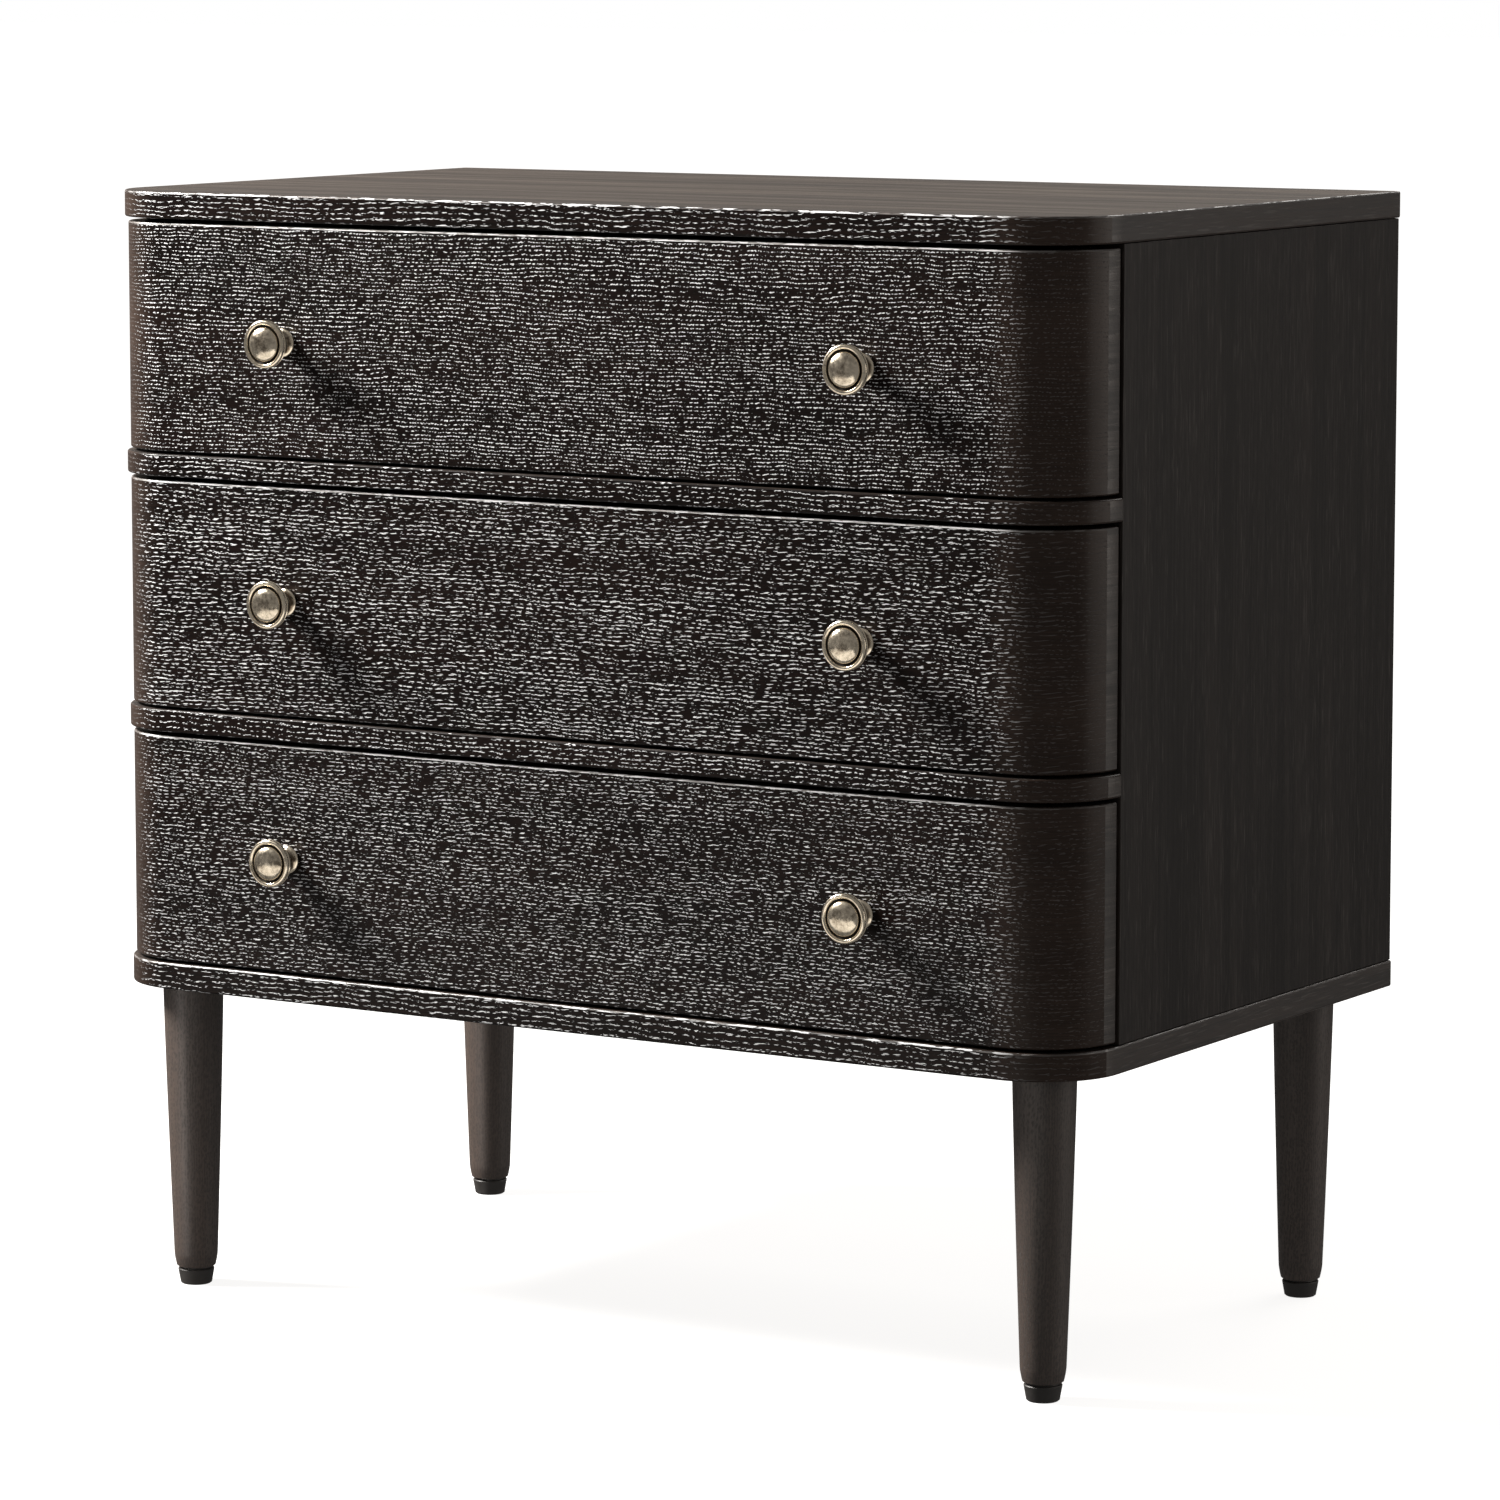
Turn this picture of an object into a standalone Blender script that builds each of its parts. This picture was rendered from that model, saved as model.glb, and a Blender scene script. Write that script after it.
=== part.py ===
"""Three-drawer nightstand: an oak case with rounded front corners on turned legs, with brass knobs.

Metres, +Z up, front towards -Y, +X to the viewer's right. The origin lies on the floor under the
middle of the overall box. Inside the case empty, y runs back from the front plane of the slabs.
"""

from math import cos, pi, radians, sin

import bmesh
import bpy

# Overall sizes
CASE_WIDTH = 0.762
CASE_DEPTH = 0.450
TOTAL_HEIGHT = 0.756
LEG_HEIGHT = 0.213
DRAWER_NAMES = ("bottom", "middle", "top")

# Case
SLAB_THICKNESS = 0.018
CORNER_RADIUS = 0.056
SEAM_BEHIND_CORNER = 0.003
RAIL_THICKNESS = 0.015
RAIL_DEPTH = 0.095
SIDE_THICKNESS = 0.018
SIDE_INSET = 0.0008
BACK_THICKNESS = 0.008
BACK_RECESS = 0.006
EDGE_ROUND = 0.0012
FIT_GAP = 0.0003

# Legs
LEG_SIDE_INSET = 0.046
LEG_FRONT_INSET = 0.044
LEG_REAR_INSET = 0.042
LEG_TOP_RADIUS = 0.0208
LEG_ANKLE_RADIUS = 0.0150
LEG_FOOT_RADIUS = 0.0134
LEG_ANKLE_HEIGHT = 0.022
LEG_TAPER_STEPS = 4
LEG_TAPER_POWER = 1.15
GLIDE_HEIGHT = 0.012
GLIDE_TOP_RADIUS = 0.0125
GLIDE_FLOOR_RADIUS = 0.0102
GLIDE_RIM = 0.0024

# Drawer fronts
FRONT_THICKNESS = 0.018
FRONT_INSET = 0.0023
FRONT_GAP_TOP = 0.003
FRONT_GAP_BOTTOM = 0.002
FRONT_GAP_SEAM = 0.0015
FRONT_EDGE_ROUND = 0.0008

# Drawer boxes
BOX_WALL = 0.012
BOX_GAP_BELOW = 0.014
BOX_GAP_ABOVE = 0.027
BOX_GAP_BEHIND = 0.015
BOX_BASE_THICKNESS = 0.006
BOX_BASE_RAISE = 0.010
GROOVE_DEPTH = 0.005

# Drawer slides, each a nest of three steel channels
SLIDE_THICKNESS = 0.0127
SLIDE_HEIGHT = 0.045
SLIDE_STEEL = 0.0015
SLIDE_NEST_GAP = 0.0008
SLIDE_RAISE = 0.055
SLIDE_SETBACK = 0.005
SLIDE_GAP_BEHIND = 0.020

# Knobs and their screws
KNOB_SPACING = 0.448
KNOB_RIM_RADIUS = 0.0162
KNOB_DOME_RADIUS = 0.0120
KNOB_NECK_RADIUS = 0.0058
KNOB_BASE_RADIUS = 0.0095
KNOB_RIM_HEIGHT = 0.0202
KNOB_HEIGHT = 0.0260
KNOB_BEAD = 0.0020
KNOB_GROOVE_WIDTH = 0.0008
KNOB_BASE_THICKNESS = 0.0015
KNOB_NECK_HEIGHT = 0.0080
KNOB_NECK_FILLET = 0.0008
KNOB_FLARE_HEIGHT = 0.0135
KNOB_BORE_SPARE = 0.001
SCREW_RADIUS = 0.0020
SCREW_HEAD_RADIUS = 0.0045
SCREW_HEAD_HEIGHT = 0.0022
SCREW_IN_KNOB = 0.009
SCREW_CLEARANCE = 0.0003
SCREW_HEAD_EDGE = 0.0009
SCREW_HEAD_TOP_RADIUS = 0.0027

# Fineness
ARC_STEPS = 10
LEG_SEGMENTS = 24
KNOB_SEGMENTS = 20
SCREW_SEGMENTS = 12

# Sizes that follow from those above
SEAM = CORNER_RADIUS + SEAM_BEHIND_CORNER
OPENINGS_HEIGHT = TOTAL_HEIGHT - LEG_HEIGHT - 2 * SLAB_THICKNESS
RAILS_HEIGHT = (len(DRAWER_NAMES) - 1) * RAIL_THICKNESS
OPENING_HEIGHT = (OPENINGS_HEIGHT - RAILS_HEIGHT) / len(DRAWER_NAMES)
PITCH = OPENING_HEIGHT + RAIL_THICKNESS
FIRST_OPENING = LEG_HEIGHT + SLAB_THICKNESS
SIDE_OUTER = CASE_WIDTH / 2 - SIDE_INSET
SIDE_INNER = SIDE_OUTER - SIDE_THICKNESS
BACK_PANEL_FRONT = CASE_DEPTH - BACK_RECESS - BACK_THICKNESS
FRONT_HEIGHT = OPENING_HEIGHT - FRONT_GAP_TOP - FRONT_GAP_BOTTOM
FRONT_BACK_FACE = FRONT_INSET + FRONT_THICKNESS
FRONT_MIDDLE = FRONT_GAP_BOTTOM + FRONT_HEIGHT / 2
BOX_OUTER = SIDE_INNER - SLIDE_THICKNESS - 2 * FIT_GAP
BOX_INNER = BOX_OUTER - BOX_WALL
BOX_FRONT = FRONT_BACK_FACE + FIT_GAP
BOX_REAR = BACK_PANEL_FRONT - BOX_GAP_BEHIND
BOX_HEIGHT = OPENING_HEIGHT - BOX_GAP_BELOW - BOX_GAP_ABOVE
SLIDE_FRONT = SEAM + SLIDE_SETBACK
SLIDE_REAR = BACK_PANEL_FRONT - SLIDE_GAP_BEHIND
KNOB_PROUD = KNOB_HEIGHT + FIT_GAP - FRONT_INSET
FRONT_PLANE_Y = KNOB_PROUD - (CASE_DEPTH + KNOB_PROUD) / 2

# Turns, as Euler angles
TOWARDS_ROOM = (pi / 2, 0, 0)
HALF_TURN_ABOUT_Y = (0, pi, 0)


def clear_scene():
    for obj in list(bpy.data.objects):
        bpy.data.objects.remove(obj)


def material(name, color, roughness, metallic=0.0):
    made = bpy.data.materials.new(name)
    made.use_nodes = True
    shader = made.node_tree.nodes["Principled BSDF"]
    shader.inputs["Base Color"].default_value = (*color, 1.0)
    shader.inputs["Roughness"].default_value = roughness
    shader.inputs["Metallic"].default_value = metallic
    made.diffuse_color = (*color, 1.0)
    return made


def empty(name, parent=None, location=(0, 0, 0)):
    made = bpy.data.objects.new(name, None)
    made.empty_display_size = 0.05
    made.parent = parent
    made.location = location
    bpy.context.scene.collection.objects.link(made)
    return made


def mesh_of(name, bm, smooth=False):
    bmesh.ops.recalc_face_normals(bm, faces=bm.faces)
    made = bpy.data.meshes.new(name)
    bm.to_mesh(made)
    bm.free()
    if smooth:
        made.shade_smooth()
        made.set_sharp_from_angle(angle=radians(35))
    return made


def place(name, mesh, finish, parent, location=(0, 0, 0), rotation=(0, 0, 0)):
    """An object of this mesh; the finish stays on the object, so copies may share the mesh."""
    if not mesh.materials:
        mesh.materials.append(None)
    made = bpy.data.objects.new(name, mesh)
    bpy.context.scene.collection.objects.link(made)
    made.material_slots[0].link = "OBJECT"
    made.material_slots[0].material = finish
    made.parent = parent
    made.location = location
    made.rotation_euler = rotation
    return made


def round_outer_edges(bm, width, segments):
    """Rounds the sharp edges that stick out, and leaves inner corners square for what fits there."""
    bmesh.ops.recalc_face_normals(bm, faces=bm.faces)
    sharp = [edge for edge in bm.edges if edge.calc_face_angle_signed() > radians(40)]
    bmesh.ops.bevel(
        bm, geom=sharp, offset=width, segments=segments, profile=0.5, affect="EDGES",
    )


def extruded(name, outline, length, axis="Z", rounding=0.0, segments=1):
    """A closed prism: a flat outline pushed along +Z, or along +Y when its points are (x, z)."""
    bm = bmesh.new()
    if axis == "Z":
        corners = [bm.verts.new((u, v, 0)) for u, v in outline]
        step = (0, 0, length)
    else:
        corners = [bm.verts.new((u, 0, v)) for u, v in outline]
        step = (0, length, 0)
    base = bm.faces.new(corners)
    grown = bmesh.ops.extrude_face_region(bm, geom=[base], use_keep_orig=True)
    moved = [item for item in grown["geom"] if isinstance(item, bmesh.types.BMVert)]
    bmesh.ops.translate(bm, verts=moved, vec=step)
    if rounding:
        round_outer_edges(bm, rounding, segments)
    return mesh_of(name, bm)


def turned(name, profile, segments):
    """A solid of revolution about Z from (radius, height) points that start and end on the axis."""
    bm = bmesh.new()
    points = [bm.verts.new((radius, 0, height)) for radius, height in profile]
    edges = [bm.edges.new(pair) for pair in zip(points, points[1:])]
    bmesh.ops.spin(
        bm, geom=points + edges, cent=(0, 0, 0), axis=(0, 0, 1), angle=2 * pi, steps=segments,
        use_merge=True,
    )
    bmesh.ops.remove_doubles(bm, verts=bm.verts, dist=1e-6)
    return mesh_of(name, bm, smooth=True)


def arc(centre, radius, start, end, steps=ARC_STEPS):
    """Points from one angle to another, in degrees, both ends included."""
    angles = [radians(start + (end - start) * i / steps) for i in range(steps + 1)]
    return [(centre[0] + radius * cos(a), centre[1] + radius * sin(a)) for a in angles]


def front_curve(inset):
    """The rounded front of the case in plan, left to right, this far inside the slabs' outline."""
    radius = CORNER_RADIUS - inset
    reach = CASE_WIDTH / 2 - CORNER_RADIUS
    left = arc((-reach, CORNER_RADIUS), radius, 180, 270)
    right = arc((reach, CORNER_RADIUS), radius, 270, 360)
    return left + right


def build_case(root, oak):
    half = CASE_WIDTH / 2
    slab_outline = front_curve(0) + [(half, CASE_DEPTH), (-half, CASE_DEPTH)]
    slab_mesh = extruded("slab", slab_outline, SLAB_THICKNESS, rounding=EDGE_ROUND, segments=2)
    top_z = TOTAL_HEIGHT - SLAB_THICKNESS
    for name, z in (("bottom_panel", LEG_HEIGHT), ("top_panel", top_z)):
        place(name, slab_mesh, oak, root, (0, 0, z))

    # Each rail follows the slabs' outline to the seam, then steps in between the side panels.
    tongue = SIDE_INNER - FIT_GAP
    shoulder = SEAM - FIT_GAP
    rail_outline = front_curve(0) + [
        (half, shoulder), (tongue, shoulder), (tongue, RAIL_DEPTH),
        (-tongue, RAIL_DEPTH), (-tongue, shoulder), (-half, shoulder),
    ]
    rail_mesh = extruded("rail", rail_outline, RAIL_THICKNESS, rounding=EDGE_ROUND)
    for index, name in enumerate(("divider_rail_lower", "divider_rail_upper")):
        z = FIRST_OPENING + OPENING_HEIGHT + index * PITCH
        place(name, rail_mesh, oak, root, (0, 0, z))

    panel_height = OPENINGS_HEIGHT - 2 * FIT_GAP
    side_depth = CASE_DEPTH - SIDE_INSET - SEAM
    side_outline = [(0, 0), (SIDE_THICKNESS, 0), (SIDE_THICKNESS, side_depth), (0, side_depth)]
    side_mesh = extruded("side_panel", side_outline, panel_height)
    panel_z = FIRST_OPENING + FIT_GAP
    for name, x in (("side_panel_left", -SIDE_OUTER), ("side_panel_right", SIDE_INNER)):
        place(name, side_mesh, oak, root, (x, SEAM, panel_z))

    reach = SIDE_INNER - FIT_GAP
    back_outline = [(-reach, 0), (reach, 0), (reach, BACK_THICKNESS), (-reach, BACK_THICKNESS)]
    back_mesh = extruded("back_panel", back_outline, panel_height)
    place("back_panel", back_mesh, oak, root, (0, BACK_PANEL_FRONT, panel_z))


def leg_profile():
    """Down the turned leg: a taper that starts gently at the top, then a short ankle."""
    foot = GLIDE_HEIGHT + FIT_GAP
    top = LEG_HEIGHT - FIT_GAP
    points = [(0, top)]
    for i in range(LEG_TAPER_STEPS + 1):
        down = i / LEG_TAPER_STEPS
        narrowing = (LEG_TOP_RADIUS - LEG_ANKLE_RADIUS) * down**LEG_TAPER_POWER
        points.append((LEG_TOP_RADIUS - narrowing, top + (LEG_ANKLE_HEIGHT - top) * down))
    return points + [(LEG_FOOT_RADIUS, foot), (0, foot)]


def build_legs(root, oak, plastic):
    leg_mesh = turned("leg", leg_profile(), LEG_SEGMENTS)
    lip = GLIDE_HEIGHT - GLIDE_RIM
    glide_profile = [
        (0, GLIDE_HEIGHT), (GLIDE_TOP_RADIUS, GLIDE_HEIGHT), (GLIDE_TOP_RADIUS, lip),
        (GLIDE_FLOOR_RADIUS, 0), (0, 0),
    ]
    glide_mesh = turned("glide", glide_profile, LEG_SEGMENTS)
    reach = CASE_WIDTH / 2 - LEG_SIDE_INSET
    for row, y in (("front", LEG_FRONT_INSET), ("rear", CASE_DEPTH - LEG_REAR_INSET)):
        for side, x in (("left", -reach), ("right", reach)):
            place(f"leg_{row}_{side}", leg_mesh, oak, root, (x, y, 0))
            place(f"glide_{row}_{side}", glide_mesh, plastic, root, (x, y, 0))


def channel(name, back, lip, height, length):
    """A steel channel along +Y: its web stands at x = back, and its flanges reach x = lip."""
    inward = SLIDE_STEEL if lip > back else -SLIDE_STEEL
    half = height / 2
    inner = half - SLIDE_STEEL
    outline = [
        (back, -half), (lip, -half), (lip, -inner), (back + inward, -inner),
        (back + inward, inner), (lip, inner), (lip, half), (back, half),
    ]
    return extruded(name, outline, length, axis="Y")


def slide_meshes(length):
    """The three channels of a slide on the right; x runs from the drawer box out to the case."""
    nest = SLIDE_STEEL + SLIDE_NEST_GAP
    outer_web = SLIDE_THICKNESS
    middle_web = outer_web - nest
    middle_height = SLIDE_HEIGHT - 2 * nest
    inner_height = middle_height - 2 * nest
    return {
        "outer": channel("slide_outer", outer_web, nest, SLIDE_HEIGHT, length),
        "middle": channel("slide_middle", middle_web, nest, middle_height, length),
        "inner": channel("slide_inner", 0, middle_web - nest, inner_height, length),
    }


def build_slides(root, steel):
    """The fixed and the loose middle channel of every slide. Returns the drawers' channel."""
    meshes = slide_meshes(SLIDE_REAR - SLIDE_FRONT)
    x = BOX_OUTER + FIT_GAP
    for index, drawer in enumerate(DRAWER_NAMES):
        z = FIRST_OPENING + index * PITCH + BOX_GAP_BELOW + SLIDE_RAISE
        fixed = empty(f"{drawer}_slide_fixing", root, (0, SLIDE_FRONT, z))
        runner = empty(f"{drawer}_slides", root, (0, SLIDE_FRONT, z))
        for part, parent in (("outer", fixed), ("middle", runner)):
            name = f"{drawer}_slide_{part}"
            place(f"{name}_right", meshes[part], steel, parent, (x, 0, 0))
            place(f"{name}_left", meshes[part], steel, parent, (-x, 0, 0), HALF_TURN_ABOUT_Y)
    return meshes["inner"]


def box_side_outline():
    """A drawer side in section on the right: the base's groove is in its inner face, at x = 0."""
    low = BOX_BASE_RAISE - FIT_GAP
    high = BOX_BASE_RAISE + BOX_BASE_THICKNESS + FIT_GAP
    return [
        (0, 0), (BOX_WALL, 0), (BOX_WALL, BOX_HEIGHT), (0, BOX_HEIGHT),
        (0, high), (GROOVE_DEPTH, high), (GROOVE_DEPTH, low), (0, low),
    ]


def knob_profile():
    """A mushroom knob, from its bore out over the base, up the neck and across the cap."""
    bore = SCREW_RADIUS + SCREW_CLEARANCE
    bore_end = SCREW_IN_KNOB + KNOB_BORE_SPARE
    shoulder = KNOB_RIM_HEIGHT - KNOB_BEAD
    crown = KNOB_RIM_HEIGHT + KNOB_BEAD
    groove = KNOB_DOME_RADIUS + KNOB_GROOVE_WIDTH
    base_and_neck = [
        (bore, 0), (KNOB_BASE_RADIUS, 0), (KNOB_BASE_RADIUS, KNOB_BASE_THICKNESS),
        (KNOB_NECK_RADIUS + KNOB_NECK_FILLET, 2 * KNOB_BASE_THICKNESS),
        (KNOB_NECK_RADIUS, KNOB_NECK_HEIGHT),
        (KNOB_NECK_RADIUS + 2 * KNOB_NECK_FILLET, KNOB_FLARE_HEIGHT),
    ]
    rim = [
        (KNOB_RIM_RADIUS - KNOB_BEAD, shoulder), (KNOB_RIM_RADIUS, KNOB_RIM_HEIGHT),
        (KNOB_RIM_RADIUS - KNOB_BEAD / 2, crown), (groove + KNOB_BEAD / 4, crown + KNOB_BEAD / 2),
        (groove, KNOB_RIM_HEIGHT),
    ]
    dome = []
    for degrees in (0, 30, 60):
        tilt = radians(degrees)
        height = crown + (KNOB_HEIGHT - crown) * sin(tilt)
        dome.append((KNOB_DOME_RADIUS * cos(tilt), height))
    return [(0, bore_end), (bore, bore_end)] + base_and_neck + rim + dome + [(0, KNOB_HEIGHT)]


def screw_profile():
    """A machine screw whose head rests at height 0 and whose shank points up."""
    length = FRONT_THICKNESS + 2 * FIT_GAP + SCREW_IN_KNOB
    return [
        (0, length), (SCREW_RADIUS, length), (SCREW_RADIUS, 0), (SCREW_HEAD_RADIUS, 0),
        (SCREW_HEAD_RADIUS, -SCREW_HEAD_EDGE), (SCREW_HEAD_TOP_RADIUS, -SCREW_HEAD_HEIGHT),
        (0, -SCREW_HEAD_HEIGHT),
    ]


def front_outline():
    """A drawer front in plan: solid corners wrap round the box and end just short of the seam."""
    end = SEAM - FRONT_GAP_SEAM
    outer = CASE_WIDTH / 2 - FRONT_INSET
    pocket = BOX_OUTER + FIT_GAP
    back = FRONT_BACK_FACE
    outside = [(-outer, end)] + front_curve(FRONT_INSET) + [(outer, end)]
    return outside + [(pocket, end), (pocket, back), (-pocket, back), (-pocket, end)]


def hole_cutter(mesh, drawer, parent):
    """Both knob holes of a drawer front, as one cutter."""
    made = bpy.data.objects.new(f"{drawer}_knob_holes", mesh)
    bpy.context.scene.collection.objects.link(made)
    made.parent = parent
    made.location = (0, FRONT_INSET + FRONT_THICKNESS / 2, FRONT_MIDDLE)
    made.hide_render = True
    made.display_type = "WIRE"
    return made


def hole_mesh():
    bm = bmesh.new()
    for side in (-1, 1):
        made = bmesh.ops.create_cone(
            bm, cap_ends=True, segments=SCREW_SEGMENTS, radius1=SCREW_RADIUS + SCREW_CLEARANCE,
            radius2=SCREW_RADIUS + SCREW_CLEARANCE, depth=2 * FRONT_THICKNESS,
        )
        for vert in made["verts"]:
            x, y, z = vert.co
            vert.co = (x + side * KNOB_SPACING / 2, -z, y)
    return mesh_of("knob_holes", bm)


def drawer_meshes():
    """The meshes that all the drawers share."""
    box_depth = BOX_REAR - BOX_FRONT
    base_reach = BOX_INNER + GROOVE_DEPTH - FIT_GAP
    base_outline = [(-base_reach, 0), (base_reach, 0), (base_reach, box_depth),
                    (-base_reach, box_depth)]
    back_low = BOX_BASE_RAISE + BOX_BASE_THICKNESS + FIT_GAP
    back_reach = BOX_INNER - FIT_GAP
    back_outline = [(-back_reach, back_low), (back_reach, back_low), (back_reach, BOX_HEIGHT),
                    (-back_reach, BOX_HEIGHT)]
    side_outline = box_side_outline()
    flipped_outline = [(-x, z) for x, z in side_outline]
    return {
        "front": extruded("drawer_front", front_outline(), FRONT_HEIGHT, rounding=FRONT_EDGE_ROUND),
        "side_right": extruded("drawer_side_right", side_outline, box_depth, axis="Y"),
        "side_left": extruded("drawer_side_left", flipped_outline, box_depth, axis="Y"),
        "back": extruded("drawer_back", back_outline, BOX_WALL, axis="Y"),
        "bottom": extruded("drawer_bottom", base_outline, BOX_BASE_THICKNESS),
        "knob": turned("knob", knob_profile(), KNOB_SEGMENTS),
        "screw": turned("knob_screw", screw_profile(), SCREW_SEGMENTS),
        "holes": hole_mesh(),
    }


def build_drawer(name, opening, root, meshes, inner_slide, finishes):
    """One drawer on its own empty, which lies on the drawer's sliding axis."""
    runner = empty(f"{name}_drawer", root, (0, 0, opening))
    box_z = BOX_GAP_BELOW

    def add(piece, mesh, finish, location, rotation=(0, 0, 0)):
        return place(f"{name}_drawer_{piece}", mesh, finishes[finish], runner, location, rotation)

    front = add("front", meshes["front"], "oak", (0, 0, FRONT_GAP_BOTTOM))
    drill = front.modifiers.new("knob_holes", "BOOLEAN")
    drill.object = hole_cutter(meshes["holes"], name, runner)

    add("side_right", meshes["side_right"], "box_wood", (BOX_INNER, BOX_FRONT, box_z))
    add("side_left", meshes["side_left"], "box_wood", (-BOX_INNER, BOX_FRONT, box_z))
    add("back", meshes["back"], "box_wood", (0, BOX_REAR - BOX_WALL, box_z))
    add("bottom", meshes["bottom"], "box_wood", (0, BOX_FRONT, box_z + BOX_BASE_RAISE))

    slide_x = BOX_OUTER + FIT_GAP
    slide_z = box_z + SLIDE_RAISE
    add("slide_inner_right", inner_slide, "steel", (slide_x, SLIDE_FRONT, slide_z))
    add("slide_inner_left", inner_slide, "steel", (-slide_x, SLIDE_FRONT, slide_z),
        HALF_TURN_ABOUT_Y)

    knob_y = FRONT_INSET - FIT_GAP
    screw_y = FRONT_BACK_FACE + FIT_GAP
    for side, x in (("left", -KNOB_SPACING / 2), ("right", KNOB_SPACING / 2)):
        add(f"knob_{side}", meshes["knob"], "brass", (x, knob_y, FRONT_MIDDLE), TOWARDS_ROOM)
        add(f"knob_screw_{side}", meshes["screw"], "steel", (x, screw_y, FRONT_MIDDLE),
            TOWARDS_ROOM)


def main():
    clear_scene()
    finishes = {
        "oak": material("dark_oak", (0.022, 0.017, 0.014), 0.55),
        "box_wood": material("drawer_box_wood", (0.52, 0.38, 0.24), 0.6),
        "brass": material("antique_brass", (0.42, 0.31, 0.17), 0.4, 1.0),
        "steel": material("zinc_plated_steel", (0.55, 0.56, 0.58), 0.35, 1.0),
        "plastic": material("glide_plastic", (0.02, 0.018, 0.017), 0.5),
    }
    root = empty("nightstand", location=(0, FRONT_PLANE_Y, 0))
    build_case(root, finishes["oak"])
    build_legs(root, finishes["oak"], finishes["plastic"])
    inner_slide = build_slides(root, finishes["steel"])
    meshes = drawer_meshes()
    for index, name in enumerate(DRAWER_NAMES):
        opening = FIRST_OPENING + index * PITCH
        build_drawer(name, opening, root, meshes, inner_slide, finishes)


main()
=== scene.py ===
"""Looks of a three-drawer nightstand in near-black open-pore oak with aged brass knobs."""

from math import cos, pi, radians, sin

import bmesh
import bpy
from mathutils import Matrix, Vector


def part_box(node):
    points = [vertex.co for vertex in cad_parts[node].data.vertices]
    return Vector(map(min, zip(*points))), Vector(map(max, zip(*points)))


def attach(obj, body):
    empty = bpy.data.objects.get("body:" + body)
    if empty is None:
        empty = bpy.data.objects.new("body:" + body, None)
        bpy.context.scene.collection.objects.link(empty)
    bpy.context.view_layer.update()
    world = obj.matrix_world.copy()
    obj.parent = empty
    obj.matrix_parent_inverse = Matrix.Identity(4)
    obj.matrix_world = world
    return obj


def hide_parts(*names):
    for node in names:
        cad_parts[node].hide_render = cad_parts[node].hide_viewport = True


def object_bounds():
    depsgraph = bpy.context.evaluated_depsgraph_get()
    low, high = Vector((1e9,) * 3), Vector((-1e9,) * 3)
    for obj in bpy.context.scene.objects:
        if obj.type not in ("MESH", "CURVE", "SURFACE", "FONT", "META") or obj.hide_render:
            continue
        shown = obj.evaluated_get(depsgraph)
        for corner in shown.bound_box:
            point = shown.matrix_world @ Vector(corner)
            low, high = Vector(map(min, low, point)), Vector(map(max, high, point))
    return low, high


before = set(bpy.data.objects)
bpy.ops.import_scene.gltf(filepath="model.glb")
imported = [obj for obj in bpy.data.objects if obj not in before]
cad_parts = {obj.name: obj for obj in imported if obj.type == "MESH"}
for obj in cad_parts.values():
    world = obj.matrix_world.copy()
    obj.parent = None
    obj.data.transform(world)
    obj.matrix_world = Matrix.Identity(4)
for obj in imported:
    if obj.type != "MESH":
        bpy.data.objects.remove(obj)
CAD_BOX = [list(corner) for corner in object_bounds()]

# Sizes that the frame's boxes don't give, in metres
CORNER_RADIUS = 0.056
SEAM_GAP = 0.0003
SLAB_EDGE = 0.0013
FRONT_EDGE = 0.0013
PANEL_EDGE = 0.0006
BOARD_EDGE = 0.0010
SLIDE_STEEL = 0.0012
SLIDE_FOLD = 0.0024

# Steps round a front corner, across a rounded edge and round a turned piece
ARC_STEPS = 28
ROUND_STEPS = 3
TURNED_STEPS = 72

DRAWERS = ("bottom", "middle", "top")
SIDES = ("left", "right")


# ---------------------------------------------------------------- camera, light and floor

# The camera fitted to the photo's perspective
CAMERA_PLACE = (2.2517, -3.6386, 0.9421)
CAMERA_TURN = (radians(90 - 6.857), 0.0, 0.55188)
CAMERA_FOCAL = 152.08
CAMERA_SHIFT_Y = -0.05

KEY_TARGET = Vector((0.0, -0.1, 0.42))
KEY_DIRECTION = Vector((-0.755, -0.286, 0.586))
KEY_DISTANCE = 2.4
KEY_SIZE = 0.62
KEY_POWER = 230

# The world's strength on the object, in its gloss and behind it
WORLD_LIGHT = 0.35
WORLD_IN_GLOSS = 0.16
WORLD_SEEN = 1.0
WORLD_TINT = (1.0, 0.975, 0.945, 1.0)

# The floor, whose glow rises with the distance from the object until it is as white as the wall
FLOOR_REACH = 40.0
FLOOR_GREY = (0.24, 0.24, 0.24, 1.0)
FLOOR_GLOW_COLOR = (1.0, 0.99, 0.98, 1.0)
GLOW_NEAR, GLOW_FAR = 0.8, 3.0
GLOW_LEAST, GLOW_MOST = 0.90, 1.0


def add_camera():
    """The photo's view, set as the scene's camera."""
    data = bpy.data.cameras.new("camera")
    data.sensor_width = 36.0
    data.lens = CAMERA_FOCAL
    data.shift_y = CAMERA_SHIFT_Y
    data.clip_end = 60.0
    camera = bpy.data.objects.new("camera", data)
    camera.location = CAMERA_PLACE
    camera.rotation_euler = CAMERA_TURN
    bpy.context.scene.collection.objects.link(camera)
    bpy.context.scene.camera = camera


def add_area_light(name, place, target, size, power, color, only_gloss=False, spread=180):
    """A light the camera doesn't see; only_gloss makes it a card that shows in gloss alone."""
    data = bpy.data.lights.new(name, "AREA")
    data.shape = "RECTANGLE"
    data.size, data.size_y = size
    data.energy = power
    data.color = color
    data.spread = radians(spread)
    light = bpy.data.objects.new(name, data)
    light.location = place
    light.rotation_euler = (Vector(target) - Vector(place)).to_track_quat("-Z", "Y").to_euler()
    light.visible_camera = False
    light.visible_diffuse = not only_gloss
    bpy.context.scene.collection.objects.link(light)


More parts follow.
